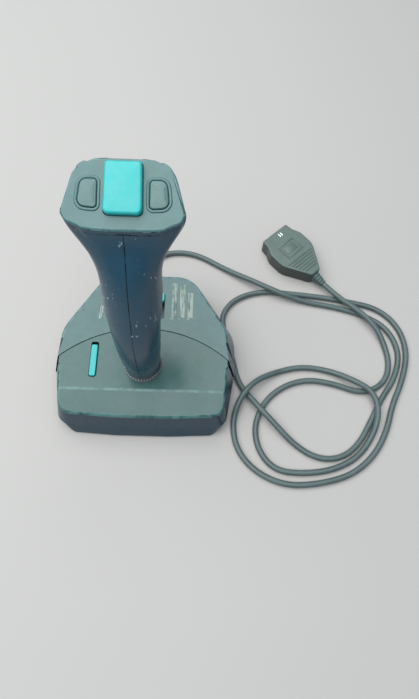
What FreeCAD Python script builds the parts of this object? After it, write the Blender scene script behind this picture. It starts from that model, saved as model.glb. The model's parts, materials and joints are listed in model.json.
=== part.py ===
import FreeCAD, Part
import math
import os

# Flight-stick game controller: a pistol-grip stick on a wide low base, with a lead and a
# nine-way plug.  Millimetres, +Z up, the base stands on Z = 0, the user sits on the -Y side.
# The stick's axis stands over X = 0, Y = STICK_Y.

V = FreeCAD.Vector

# ---- base casing -------------------------------------------------------------------------
BASE_WIDTH = 135.0        # widest, at the parting line
FRONT_Y = -55.8           # front wall at the parting line
BACK_Y = 58.7             # back wall at the parting line
TRAY_Z = 2.0              # underside of the tray, above the feet
PART_Z = 13.0             # parting line between tray and upper casing
DECK_Z = 33.0             # flat deck
WALL = 2.4                # casing walls
STEP = 0.8                # how far the rear cover stands proud of the front deck
RIDGE_Y = -35.0           # where the deck turns down into the front slope
SLOPE_DROP = 0.366        # front slope, rise over run
ARC_TOP_Y = 12.5          # seam between deck and rear cover: its furthest point back
ARC_RADIUS = 92.5

# corners of half the outline at each level: inset from the half width, y, corner radius
HALF = BASE_WIDTH / 2
FOOT_CORNERS = ((47.5, FRONT_Y - 5.2, 90), (12.0, FRONT_Y - 3.2, 8), (8.3, -13, 80),
                (9.3, 12, 30), (34.8, BACK_Y - 5, 15))
PART_CORNERS = ((47.5, FRONT_Y - 1.6, 90), (6.6, FRONT_Y + 0.6, 9), (0, -13, 80),
                (1.8, 15, 30), (30.3, BACK_Y, 17))
DECK_CORNERS = ((47.5, FRONT_Y + 4.8, 90), (9.2, FRONT_Y + 6.6, 10), (6.3, -15, 80),
                (7.5, 11, 30), (36.0, BACK_Y - 2.5, 20))

# ---- fixings -----------------------------------------------------------------------------
SCREW_R = 1.5
SCREW_HEAD_R = 2.9
SCREW_HEAD_H = 2.0
SCREW_PLAY = 0.05         # radial, screw in its hole
BOSS_R = 4.2
BASE_SCREWS = ((50, -41), (53, 5), (26, 45))
FOOT_R = 7.0
FEET = ((37, -46), (19, 33))

# ---- stick pivot -------------------------------------------------------------------------
STICK_Y = -16.0
PIVOT_Z = DECK_Z - 11.0
HOUSING_IN = 14.6         # half the inner width of the pivot housing
HOUSING_WALL = 2.4
HOUSING_TOP = PIVOT_Z + 3.5
RING_OUT = 12.5
RING_IN = 9.0
RING_H = 6.0
PIN_R = 2.0
PIN_PLAY = 0.05
SHAFT_R = 4.0
HUB_R = 6.2
GRIP_Z = DECK_Z + 5.0     # lower end of the grip
SHAFT_TOP = GRIP_Z + 23.0
SHAFT_FOOT = PIVOT_Z - 13.0
PUSHER_R = 5.0
PUSHER_H = 2.5
HOLE_R = 10.6             # hole in the deck for the stick
BOOT_R = 13.6
SPRING_R = 7.0
SPRING_WIRE = 0.5

# ---- grip: level, centre y, half width, half depth, squareness, taper to the back, and how
# ---- far the front bows out between its corners, as a share of the half depth --------------
GRIP_WALL = 2.2
GRIP = (
    (GRIP_Z, STICK_Y, 12.4, 12.4, 2.0, 0.0, 0.0),
    (56, -15.6, 13.7, 14.6, 2.0, 0.0, 0.0),
    (78, -13.0, 15.0, 17.2, 2.1, 0.0, 0.0),
    (102, -6.5, 16.6, 19.4, 2.1, 0.02, 0.0),
    (124, 2.5, 17.8, 20.6, 2.1, 0.03, 0.0),
    (141, 10.6, 19.4, 20.6, 2.2, 0.04, 0.0),
    (151, 16.2, 23.2, 19.8, 2.5, 0.08, 0.05),
    (161, 20.6, 27.8, 18.4, 3.4, 0.13, 0.14),
    (170, 21.7, 29.3, 17.5, 5.0, 0.149, 0.25),
    (179, 21.7, 29.3, 17.5, 5.0, 0.149, 0.25),
    (188, 21.7, 29.3, 17.5, 5.0, 0.149, 0.25),
    (198, 21.7, 29.3, 17.5, 5.0, 0.149, 0.25),
)
HEAD_Y = 23.5             # middle of the head panel's top face
HEAD_Z = 178.0
HEAD_TILT = 21.8          # degrees, the panel faces up and towards the user
PANEL_T = 3.0
BACK_BOW = 0.3            # the back bows this share of what the front does
GRIP_RIBS = ((41, 44), (55, 58), (104, 107))
LEAD_HOLE_R = 3.2
GRIP_SCREWS = ((-13.0, 72.0), (-8.0, 94.0), (6.0, 150.0))
GRIP_SEAT_X = -8.0

# ---- buttons -----------------------------------------------------------------------------
BUTTON_PLAY = 0.35
FIRE_W = 20.0
FIRE_V = (-12.4, 14.2)    # along the panel, front to back
FIRE_SKIRT = 1.2          # the cap's own edge reaches this far below the panel's top face
FIRE_CORE_BACK = 12.0     # and its core under the panel stops here, clear of the grip's wall
FIRE_PROUD = 4.0
FIRE_TRAVEL = 1.6
SIDE_PROUD = 1.1
SIDE_TRAVEL = 1.0
SIDE_X = 18.2
SIDE_V = -1.7
FLANGE_T = 1.2
BOARD_T = 1.6
HEAD_BOARD_W = -10.7      # top of the head board below the panel's top face
DOME_H = 2.0
DOME_GAP = 0.3
KEY_ROOM = 1.1            # buttons clear the grip's inner wall by this, at rest
BOARD_ROOM = 0.3
POSTS = ((8, -15.6), (-8, -15.6), (14, 8.4), (-14, 8.4))     # under the panel: across, along
POST_R = 1.5
SIDE_FLANGE_V = 7.9

# ---- trigger -----------------------------------------------------------------------------
TRIGGER_PIN = (28.0, 147.0)
TRIGGER_LOW = (3.0, 113.0)    # its front edge, low end: y, z
TRIGGER_HIGH = (19.0, 141.0)   # its front edge, high end
TRIGGER_GAP = 4.0         # ahead of it, for a travel of 4 degrees
TRIGGER_PIN_R = 1.5
LUG_R = 4.0               # the grip's boss round the trigger's pin
EAR_HALF = 4.8

# ---- sliders -----------------------------------------------------------------------------
SLOT_W = 5.4
SLIDER_W = SLOT_W - 0.9
SLIDER_A = (-36.0, -26.0, 1.0, 24.0)     # x, slot from y, slot to y, knob length
SLIDER_B = (10.5, 20.8, 42.0, 7.0)
SLIDER_PROUD = 1.5
SLOT_END = 0.3
SWITCH_H = 5.5

# ---- base board --------------------------------------------------------------------------
BOARD_Z = DECK_Z - 14.0
BOARD_POSTS = ((-44, -23), (-44, 19), (-30, 35), (18, 35))

# ---- lead and plug -----------------------------------------------------------------------
CORD_D = 4.4
EXIT_X = -6.0
EXIT_Z = 8.0
CORD_PLAY = 0.05
GLAND_R = 2.9                 # strain relief where it passes the back wall
GLAND_FLANGE_R = 3.55
GLAND_FLANGE_T = 1.5
GLAND_INSIDE = 9.0            # its flange starts this far in front of the back wall
GLAND_NECK_END = 1.5          # its taper starts this far in front of the back wall
GLAND_TAPER = 9.0
FLOOR = CORD_D / 2 + 0.05     # height of the lead's middle where it lies on the table
OVER = 7.4                    # and where it passes over itself
OVER_2 = 10.3                 # and over a stretch that is still coming down
PLUG_Z = 7.0
ROUTE = (
    (EXIT_X, 50, EXIT_Z), (EXIT_X, 70, EXIT_Z), (-4, 86, 4.2), (10, 98, FLOOR), (34, 98, FLOOR),
    (60, 83, FLOOR), (83, 70, OVER), (104, 60, OVER), (126, 54.5, FLOOR), (150, 51, FLOOR),
    (172, 45, FLOOR), (192, 34, FLOOR), (200.5, 13, FLOOR), (195, -9, FLOOR), (182, -27, FLOOR),
    (173, -44, FLOOR), (162, -63, FLOOR), (148, -74, FLOOR), (130, -75, FLOOR),
    (113, -65, FLOOR), (96, -48, OVER), (83, -34, OVER), (71, -18, FLOOR), (67, 1, FLOOR),
    (61, 21, FLOOR), (57, 39, FLOOR), (67, 55, FLOOR), (89, 63.5, FLOOR), (112, 62, FLOOR),
    (136, 60, FLOOR), (160, 56.5, FLOOR), (186, 51, FLOOR), (202, 35, FLOOR), (207, 12, FLOOR),
    (200, -12, FLOOR), (190, -32, FLOOR), (184, -52, FLOOR), (173, -71, FLOOR),
    (155, -86, FLOOR), (131, -93, FLOOR), (106, -95, FLOOR), (84, -86, FLOOR),
    (70, -70, FLOOR), (66.5, -50, FLOOR), (71, -33, OVER_2), (83, -18, OVER_2),
    (101, -7.5, FLOOR), (121, -2.5, FLOOR), (142, -5, FLOOR), (160, -14, OVER), (175, -23, OVER),
    (178, -40, OVER), (172, -58, FLOOR), (159, -74, FLOOR), (140, -83, FLOOR),
    (118, -86, FLOOR), (98, -84, FLOOR), (86, -70, FLOOR), (83, -51, FLOOR), (91, -32, FLOOR),
    (106, -19, FLOOR), (125, -13, FLOOR), (146, -16, FLOOR), (164, -22.5, FLOOR),
    (177, -20, FLOOR), (187, -11.5, FLOOR), (191, 1, FLOOR), (189.5, 16, FLOOR),
    (182, 32, OVER), (168, 47, OVER),
    (153, 57, OVER), (141.5, 69.5, PLUG_Z),
)
PLUG_LENGTH = 50.0
PLUG_RELIEF = 10.0
PLUG_T = 14.0
PLUG_NOSE = 13.5          # half widths
PLUG_BELLY = 17.6
SOCKET_D = (8.4, 4.1)     # half width and half height of the metal shroud
SOCKET_DEPTH = 9.0

OUT = "parts"
os.makedirs(OUT, exist_ok=True)


# ---- shape helpers -----------------------------------------------------------------------
def save(name, shape):
    shape.exportStep(OUT + "/" + name + ".step")
    solids = shape.Solids
    print(name, len(solids), "solid(s)", round(shape.Volume / 1000, 3), "cm3", shape.isValid())
    return shape


def rounded_wire(points):
    """Closed wire through (x, y, z, radius) corners, each rounded by its radius."""
    edges = []
    ends = []
    count = len(points)
    for i in range(count):
        here = V(*points[i][:3])
        before = V(*points[i - 1][:3]) - here
        after = V(*points[(i + 1) % count][:3]) - here
        radius = points[i][3]
        opening = before.getAngle(after)
        cut = min(radius / math.tan(opening / 2), 0.49 * before.Length, 0.49 * after.Length)
        radius = cut * math.tan(opening / 2)
        before.normalize()
        after.normalize()
        start = here + before * cut
        stop = here + after * cut
        bisector = before + after
        bisector.normalize()
        middle = here + bisector * (radius / math.sin(opening / 2) - radius)
        ends.append((start, stop))
        edges.append(Part.Arc(start, middle, stop).toShape())
    pieces = []
    for i in range(count):
        pieces.append(edges[i])
        pieces.append(Part.LineSegment(ends[i][1], ends[(i + 1) % count][0]).toShape())
    return Part.Wire(pieces)


def level(z, corners, grow=0.0):
    """The base's outline at one height, from the corners of its right half."""
    right = []
    for inset, y, radius in corners:
        push = -grow if y < RIDGE_Y else (grow if y > BACK_Y - 20 else 0)
        right.append((HALF - inset + grow, y + push, z, max(radius + grow, 3)))
    left = [(-x, y, z, radius) for x, y, z, radius in reversed(right)]
    return rounded_wire(right + left)


def loft(wires, ruled=True):
    return Part.makeLoft(wires, True, ruled)


def box(x0, x1, y0, y1, z0, z1):
    return Part.makeBox(x1 - x0, y1 - y0, z1 - z0, V(x0, y0, z0))


def rod(radius, start, end):
    run = V(*end) - V(*start)
    return Part.makeCylinder(radius, run.Length, V(*start), run)


def tube(outer, inner, start, end):
    return rod(outer, start, end).cut(rod(inner, start, end))


def fuse(shapes):
    whole = shapes[0]
    for shape in shapes[1:]:
        whole = whole.fuse(shape)
    return whole.removeSplitter()


def rounded_slab(points, z0, z1):
    """Upright prism over (x, y, radius) corners."""
    wire = rounded_wire([(x, y, z0, radius) for x, y, radius in points])
    return Part.Face(wire).extrude(V(0, 0, z1 - z0))


def rounded_box(x0, x1, y0, y1, z0, z1, radius):
    corners = ((x0, y0, radius), (x1, y0, radius), (x1, y1, radius), (x0, y1, radius))
    return rounded_slab(corners, z0, z1)


def prism_x(outline, half):
    """Prism along X over a (y, z) polygon."""
    points = [V(-half, y, z) for y, z in outline]
    face = Part.Face(Part.makePolygon(points + [points[0]]))
    return face.extrude(V(2 * half, 0, 0))


def coil(radius, wire, pitch, height, base, direction):
    helix = Part.makeHelix(pitch, height, radius)
    section = Part.Wire(Part.makeCircle(wire, V(radius, 0, 0), V(0, 1, 0)))
    spring = Part.Wire(helix).makePipeShell([section], True, False)
    spring.Placement = FreeCAD.Placement(V(*base), FreeCAD.Rotation(V(0, 0, 1), V(*direction)))
    return spring


def mirrored(places):
    return [(sign * x, y) for x, y in places for sign in (1, -1)]


# ---- base casing -------------------------------------------------------------------------
def slope_above(drop):
    """Everything over the front slope, lowered by drop."""
    far = FRONT_Y - 30
    top = DECK_Z - drop
    low = top - SLOPE_DROP * (RIDGE_Y - far)
    return prism_x(((RIDGE_Y, top), (far, low), (far, DECK_Z + 20), (RIDGE_Y, DECK_Z + 20)), 100)


def rear_region():
    """Everything behind the curved seam."""
    reach = HALF + 6
    end_y = ARC_TOP_Y - ARC_RADIUS + math.sqrt(ARC_RADIUS ** 2 - reach ** 2)
    start = V(reach, end_y, 0)
    stop = V(-reach, end_y, 0)
    corner_a = V(-reach, BACK_Y + 20, 0)
    corner_b = V(reach, BACK_Y + 20, 0)
    wire = Part.Wire([
        Part.Arc(start, V(0, ARC_TOP_Y, 0), stop).toShape(),
        Part.LineSegment(stop, corner_a).toShape(),
        Part.LineSegment(corner_a, corner_b).toShape(),
        Part.LineSegment(corner_b, start).toShape(),
    ])
    return Part.Face(wire).extrude(V(0, 0, DECK_Z + 20))


def slot(slider, z0, z1):
    x, y0, y1, _ = slider
    return rounded_box(x - SLOT_W / 2, x + SLOT_W / 2, y0, y1, z0, z1, 1.6)


def base_casing():
    floor_z = TRAY_Z + WALL
    seat_z = TRAY_Z + 1.0 + SCREW_HEAD_H
    outer = loft([level(TRAY_Z, FOOT_CORNERS), level(PART_Z, PART_CORNERS)])
    inner = loft([level(floor_z, FOOT_CORNERS, -WALL), level(PART_Z + 1, PART_CORNERS, -WALL)])
    tray = outer.cut(inner)
    posts = [rod(BOSS_R, (x, y, floor_z), (x, y, PART_Z)) for x, y in mirrored(BASE_SCREWS)]
    posts += [rod(2.5, (x, y, floor_z), (x, y, BOARD_Z)) for x, y in BOARD_POSTS]
    tray = fuse([tray] + posts)
    for x, y in mirrored(BASE_SCREWS):
        tray = tray.cut(rod(SCREW_R + 0.1, (x, y, 0), (x, y, PART_Z + 1)))
        tray = tray.cut(rod(SCREW_HEAD_R + 0.3, (x, y, 0), (x, y, seat_z)))
    gland_hole = rod(GLAND_R, (EXIT_X, BACK_Y - 12, EXIT_Z), (EXIT_X, BACK_Y + 9, EXIT_Z))
    tray = tray.cut(gland_hole)
    save("base_tray", tray)

    whole = loft([level(PART_Z, PART_CORNERS), level(DECK_Z, DECK_CORNERS)])
    whole = whole.cut(slope_above(0))
    proud = loft([level(PART_Z, PART_CORNERS, STEP), level(DECK_Z + STEP, DECK_CORNERS, STEP)])
    hollow = loft([level(PART_Z - 1, PART_CORNERS, -WALL), level(DECK_Z - WALL, DECK_CORNERS, -WALL)])
    hollow = hollow.cut(slope_above(WALL))
    rear = rear_region()
    bosses = []
    for x, y in mirrored(BASE_SCREWS):
        boss = rod(BOSS_R, (x, y, PART_Z), (x, y, DECK_Z - 0.5)).common(whole)
        bosses.append(boss)
    bores = [rod(SCREW_R + SCREW_PLAY, (x, y, 0), (x, y, 25.5)) for x, y in mirrored(BASE_SCREWS)]
    front_bosses = bosses[:2]
    rear_bosses = bosses[2:]
    deck = fuse([whole.cut(hollow).cut(rear)] + front_bosses)
    deck = deck.cut(rod(HOLE_R, (0, STICK_Y, DECK_Z - 8), (0, STICK_Y, DECK_Z + 5)))
    deck = deck.cut(slot(SLIDER_A, DECK_Z - 8, DECK_Z + 5))
    cover = fuse([proud.cut(hollow).common(rear)] + rear_bosses)
    cover = cover.cut(slot(SLIDER_B, DECK_Z - 8, DECK_Z + 5))
    for bore in bores:
        deck = deck.cut(bore)
        cover = cover.cut(bore)
    save("front_deck", deck)
    save("rear_cover", cover)

    screws = []
    for x, y in mirrored(BASE_SCREWS):
        head = rod(SCREW_HEAD_R, (x, y, seat_z - SCREW_HEAD_H), (x, y, seat_z))
        shank = rod(SCREW_R, (x, y, seat_z), (x, y, 25))
        cross = box(x - 0.5, x + 0.5, y - 1.6, y + 1.6, seat_z - 3, seat_z - 1.1)
        cross = cross.fuse(box(x - 1.6, x + 1.6, y - 0.5, y + 0.5, seat_z - 3, seat_z - 1.1))
        screws.append(head.fuse(shank).removeSplitter().cut(cross))
    save("base_screws", Part.makeCompound(screws))
    feet = [rod(FOOT_R, (x, y, 0), (x, y, TRAY_Z)) for x, y in mirrored(FEET)]
    save("rubber_feet", Part.makeCompound(feet))


# ---- pivot -------------------------------------------------------------------------------
def pivot():
    floor_z = TRAY_Z + WALL
    y = STICK_Y
    out = HOUSING_IN + HOUSING_WALL
    body = box(-out, out, y - out, y + out, floor_z, HOUSING_TOP)
    body = body.fuse(box(-out - 4, out + 4, y - out, y + out, floor_z, floor_z + 2))
    body = body.cut(box(-HOUSING_IN, HOUSING_IN, y - HOUSING_IN, y + HOUSING_IN,
                        floor_z + 2, HOUSING_TOP + 1))
    for sign in (1, -1):
        body = body.fuse(rod(PIN_R, (0, y + sign * (out - 1), PIVOT_Z),
                             (0, y + sign * (RING_IN + 0.4), PIVOT_Z)))
    save("pivot_housing", body.removeSplitter())

    low = PIVOT_Z - RING_H / 2
    ring = tube(RING_OUT, RING_IN, (0, y, low), (0, y, low + RING_H))
    hole = PIN_R + PIN_PLAY
    ring = ring.cut(rod(hole, (0, y - 20, PIVOT_Z), (0, y + 20, PIVOT_Z)))
    ring = ring.cut(rod(hole, (-20, y, PIVOT_Z), (20, y, PIVOT_Z)))
    save("gimbal_ring", ring)

    shaft = rod(SHAFT_R, (0, y, SHAFT_FOOT), (0, y, SHAFT_TOP))
    shaft = shaft.fuse(rod(HUB_R, (0, y, low), (0, y, low + RING_H)))
    shaft = shaft.fuse(rod(PIN_R, (-RING_OUT + 0.4, y, PIVOT_Z), (RING_OUT - 0.4, y, PIVOT_Z)))
    shaft = shaft.fuse(rod(PUSHER_R, (0, y, SHAFT_FOOT), (0, y, SHAFT_FOOT + PUSHER_H)))
    save("stick_shaft", shaft.removeSplitter())

    spring_z = SHAFT_FOOT + PUSHER_H + SPRING_WIRE + 0.1
    save("centring_spring", coil(SPRING_R, SPRING_WIRE, 1.6, 5.6, (0, y, spring_z), (0, 0, 1)))

    leaves = []
    reach = PUSHER_R + 3.1
    for turn in range(4):
        leaf = box(reach, HOUSING_IN, -3, 3, floor_z + 2, floor_z + 3)
        leaf = leaf.fuse(box(reach, reach + 0.5, -3, 3, floor_z + 2, SHAFT_FOOT + 5))
        leaf.rotate(V(0, 0, 0), V(0, 0, 1), 90 * turn)
        leaf.translate(V(0, y, 0))
        leaves.append(leaf.removeSplitter())
    save("direction_contacts", Part.makeCompound(leaves))

    boot_z = DECK_Z
    top_z = GRIP_Z - 0.4
    profile = []
    folds = 4
    rise = (top_z - boot_z) / folds
    for i in range(folds):
        radius = BOOT_R - (BOOT_R - 10.6) * i / folds
        profile.append((radius, boot_z + rise * i))
        profile.append((radius, boot_z + rise * (i + 0.6)))
        profile.append((radius - 1.5, boot_z + rise * (i + 0.8)))
    profile.append((9.6, top_z))
    points = [V(9.0, 0, boot_z)] + [V(r, 0, z) for r, z in profile] + [V(8.6, 0, top_z)]
    face = Part.Face(Part.makePolygon(points + [points[0]]))
    boot = face.revolve(V(0, 0, 0), V(0, 0, 1), 360)
    boot.translate(V(0, y, 0))
    save("pivot_boot", boot)


# ---- grip --------------------------------------------------------------------------------
def section(z, centre, half_width, half_depth, power, taper, bow, grow=0.0):
    """Closed curve at one level of the grip: a squared oval, narrower to the back."""
    points = []
    steps = 24
    for i in range(steps):
        angle = 2 * math.pi * (i + 0.5) / steps
        c = math.cos(angle)
        s = math.sin(angle)
        x = math.copysign(abs(c) ** (2 / power), c)
        v = math.copysign(abs(s) ** (2 / power), s)
        across = x * (half_width + grow) * (1 - taper * v)
        bulge = bow if v < 0 else bow * BACK_BOW
        points.append(V(across, centre + v * (half_depth + grow) * (1 - bulge * x * x), z))
    curve = Part.BSplineCurve()
    knots = [i / steps for i in range(steps + 1)]
    curve.interpolate(Points=points, PeriodicFlag=True, Parameters=knots)
    return Part.Wire(curve.toShape())


def grip_form(grow=0.0, low=0.0):
    wires = []
    for i, row in enumerate(GRIP):
        values = list(row)
        if i == 0:
            values[0] = row[0] + low
        wires.append(section(*values, grow=grow))
    return loft(wires, False)


def in_head(shape):
    """Move a shape made about the panel's own axes to the head."""
    moved = shape.copy()
    moved.rotate(V(0, 0, 0), V(1, 0, 0), HEAD_TILT)
    moved.translate(V(0, HEAD_Y, HEAD_Z))
    return moved


def head_slab(w0, w1):
    return in_head(box(-60, 60, -60, 60, w0, w1))


def trigger_zone(ahead, below, half):
    """Space behind the trigger's front edge, widened ahead of it and at both ends."""
    y0, z0 = TRIGGER_LOW
    y1, z1 = TRIGGER_HIGH
    return prism_x(((y0 - ahead, z0 - below), (y1 - ahead, z1 + below),
                    (80, z1 + below), (80, z0 - below)), half)


def fire_outline(extra):
    half = FIRE_W / 2 + extra
    front, back = FIRE_V
    return ((-half, front - extra, 3), (half, front - extra, 3),
            (half - 0.6, back + extra, 2), (-half + 0.6, back + extra, 2))


def side_outline(sign, extra):
    inner = SIDE_X - 4.9 - extra
    points = [(inner, SIDE_V - 7.4 - extra, 2), (SIDE_X + 5.4 + extra, SIDE_V - 6.6 - extra, 4),
              (SIDE_X + 3.6 + extra, SIDE_V + 7.4 + extra, 4), (inner, SIDE_V + 7.4 + extra, 2)]
    if sign > 0:
        return points
    return [(-x, y, radius) for x, y, radius in reversed(points)]


def grip():
    outer = grip_form()
    above = head_slab(-PANEL_T, 60)
    pin_y, pin_z = TRIGGER_PIN
    hollow = grip_form(-GRIP_WALL, -1.0)
    for z0, z1 in GRIP_RIBS:
        hollow = hollow.cut(box(-40, 40, -60, 80, z0, z1))
    for y, z in GRIP_SCREWS:
        hollow = hollow.cut(rod(BOSS_R, (-40, y, z), (40, y, z)))
    hollow = hollow.cut(rod(LUG_R, (-40, pin_y, pin_z), (40, pin_y, pin_z)))
    body = outer.cut(hollow).cut(above)
    body = body.cut(rod(SHAFT_R + 0.05, (0, STICK_Y, 30), (0, STICK_Y, SHAFT_TOP + 0.3)))
    body = body.cut(rod(LEAD_HOLE_R, (0, -19, 100), (0, -19, 110)))
    body = body.cut(trigger_zone(TRIGGER_GAP, 1.0, 60))
    body = body.cut(box(-EAR_HALF - 0.4, EAR_HALF + 0.4, 15, 60, TRIGGER_HIGH[1], pin_z + 6))
    body = body.cut(rod(TRIGGER_PIN_R + PIN_PLAY, (-9, pin_y, pin_z), (9, pin_y, pin_z)))
    for y, z in GRIP_SCREWS:
        body = body.cut(rod(SCREW_R + SCREW_PLAY, (GRIP_SEAT_X, y, z), (11, y, z)))
        body = body.cut(rod(SCREW_HEAD_R + 0.2, (-60, y, z), (GRIP_SEAT_X, y, z)))
    for name, x0, x1 in (("grip_left", -60, 0), ("grip_right", 0, 60)):
        half = body.common(box(x0, x1, -80, 100, 0, 260))
        save(name, Part.makeCompound([max(half.Solids, key=lambda s: s.Volume)]))

    screws = []
    for y, z in GRIP_SCREWS:
        head = rod(SCREW_HEAD_R, (GRIP_SEAT_X - SCREW_HEAD_H, y, z), (GRIP_SEAT_X, y, z))
        screws.append(head.fuse(rod(SCREW_R, (GRIP_SEAT_X, y, z), (10.5, y, z))).removeSplitter())
    save("grip_screws", Part.makeCompound(screws))

    panel = outer.common(head_slab(-PANEL_T, 0))
    panel = panel.cut(in_head(rounded_slab(fire_outline(BUTTON_PLAY), -9, 9)))
    for sign in (1, -1):
        panel = panel.cut(in_head(rounded_slab(side_outline(sign, BUTTON_PLAY), -9, 9)))
    posts = [in_head(rod(POST_R, (x, v, HEAD_BOARD_W), (x, v, -PANEL_T))) for x, v in POSTS]
    room = grip_form(-GRIP_WALL - BOARD_ROOM)
    save("head_panel", fuse([panel] + [post.common(room) for post in posts]))
    return outer


# ---- buttons -----------------------------------------------------------------------------
def buttons():
    flange_top = -PANEL_T - DOME_GAP
    stem_end = HEAD_BOARD_W + DOME_H + DOME_GAP
    front, back = FIRE_V
    cap = rounded_slab(fire_outline(0), -FIRE_SKIRT, FIRE_PROUD)
    rim = [edge for edge in cap.Edges if abs(edge.CenterOfMass.z - FIRE_PROUD) < 0.01]
    cap = cap.makeFillet(1.6, rim)
    core = box(-FIRE_W / 2 + 1, FIRE_W / 2 - 1, front + 1, FIRE_CORE_BACK, flange_top - FLANGE_T, 0)
    flange = box(-FIRE_W / 2 - 1, FIRE_W / 2 + 1, front - 1, FIRE_CORE_BACK,
                 flange_top - FLANGE_T, flange_top)
    middle = (front + back) / 2
    stem = box(-3, 3, middle - 3, middle + 3, stem_end, flange_top)
    key_room = grip_form(-GRIP_WALL - KEY_ROOM)
    under = in_head(fuse([core, flange, stem])).common(key_room)
    save("fire_button", fuse([in_head(cap), under]))

    for name, sign in (("side_button_right", 1), ("side_button_left", -1)):
        key = rounded_slab(side_outline(sign, 0), flange_top - FLANGE_T, SIDE_PROUD)
        ends = sorted((sign * (SIDE_X - 5.7), sign * (SIDE_X + 1.5)))
        key_flange = box(ends[0], ends[1], SIDE_V - SIDE_FLANGE_V, SIDE_V + SIDE_FLANGE_V,
                         flange_top - FLANGE_T, flange_top)
        stem = box(sign * SIDE_X - 2, sign * SIDE_X + 2, SIDE_V - 2, SIDE_V + 2, stem_end,
                   flange_top)
        save(name, in_head(fuse([key, key_flange, stem])).common(key_room))

    board = box(-22, 22, -7, 6.5, HEAD_BOARD_W - BOARD_T, HEAD_BOARD_W)
    board = board.fuse(box(-16.5, 16.5, -16, 14.8, HEAD_BOARD_W - BOARD_T, HEAD_BOARD_W))
    board = in_head(board.removeSplitter()).common(grip_form(-GRIP_WALL - BOARD_ROOM))
    save("head_board", board)
    for name, x, v in (("fire_dome", 0, middle), ("side_dome_right", SIDE_X, SIDE_V),
                       ("side_dome_left", -SIDE_X, SIDE_V)):
        dome = Part.makeCone(3.0, 2.2, DOME_H, V(x, v, HEAD_BOARD_W))
        save(name, in_head(dome))


# ---- trigger -----------------------------------------------------------------------------
def trigger(outer):
    pin_y, pin_z = TRIGGER_PIN
    body = outer.common(trigger_zone(0, 0, 60)).cut(grip_form(-GRIP_WALL, -1.0))
    ear = prism_x(((22, TRIGGER_HIGH[1] - 8), (22, pin_z - 2), (pin_y - 3, pin_z + 3),
                   (pin_y + 3, pin_z + 3), (32, TRIGGER_HIGH[1] - 6)), EAR_HALF)
    ear = ear.common(outer)
    tongue = box(-2.5, 2.5, 2, 24, 118, 121).common(outer)
    body = fuse([body, ear, tongue])
    body = body.cut(rod(TRIGGER_PIN_R + PIN_PLAY, (-9, pin_y, pin_z), (9, pin_y, pin_z)))
    save("trigger", body)
    save("trigger_pin", rod(TRIGGER_PIN_R, (-8.6, pin_y, pin_z), (8.6, pin_y, pin_z)))
    save("trigger_switch", box(-3.5, 3.5, -11, -2.5, GRIP_RIBS[2][1], 121.5))
    save("trigger_spring", coil(1.9, 0.35, 1.2, 3.6, (0, -2.1, 119.5), (0, 1, 0)))


# ---- sliders and board -------------------------------------------------------------------
def sliders():
    under = DECK_Z - WALL
    for name, slider, at_back, proud in (("auto_fire_slider", SLIDER_A, False, 0),
                                         ("mode_slider", SLIDER_B, True, STEP)):
        x, y0, y1, length = slider
        start = y1 - SLOT_END - length if at_back else y0 + SLOT_END
        half = SLIDER_W / 2
        knob = rounded_box(x - half, x + half, start, start + length, under - 1.4,
                           DECK_Z + proud + SLIDER_PROUD, 1.3)
        flange = box(x - 4, x + 4, start + 0.5, start + length - 0.5, under - 1.4, under - 0.3)
        middle = start + length / 2
        stem = box(x - 1, x + 1, middle - 1.2, middle + 1.2, BOARD_Z + BOARD_T + SWITCH_H + 0.3,
                   under - 1.4)
        save(name, fuse([knob, flange, stem]))

    board = box(-48, -24, -29, 25.5, BOARD_Z, BOARD_Z + BOARD_T)
    board = board.fuse(box(-36, 24, 21.5, 40.4, BOARD_Z, BOARD_Z + BOARD_T))
    save("base_board", board.removeSplitter())
    top = BOARD_Z + BOARD_T
    switches = [box(-40, -32, -21, -4, top, top + SWITCH_H),
                box(SLIDER_B[0] - 4, SLIDER_B[0] + 4, 22.5, 40.2, top, top + SWITCH_H)]
    save("slide_switches", Part.makeCompound(switches))


# ---- lead --------------------------------------------------------------------------------
def cord_path(route):
    points = [V(*p) for p in route]
    edges = []
    radii = []
    here = points[0]
    for i in range(1, len(points) - 1):
        back = points[i - 1] - points[i]
        ahead = points[i + 1] - points[i]
        turn = math.pi - back.getAngle(ahead)
        cut = 0.45 * min(back.Length, ahead.Length)
        radius = cut / math.tan(turn / 2)
        back.normalize()
        ahead.normalize()
        start = points[i] + back * cut
        stop = points[i] + ahead * cut
        inward = back + ahead
        inward.normalize()
        middle = points[i] + inward * (radius / math.cos(turn / 2) - radius)
        edges.append(Part.LineSegment(here, start).toShape())
        edges.append(Part.Arc(start, middle, stop).toShape())
        radii.append(radius)
        here = stop
    edges.append(Part.LineSegment(here, points[-1]).toShape())
    return Part.Wire(edges), radii


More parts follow.
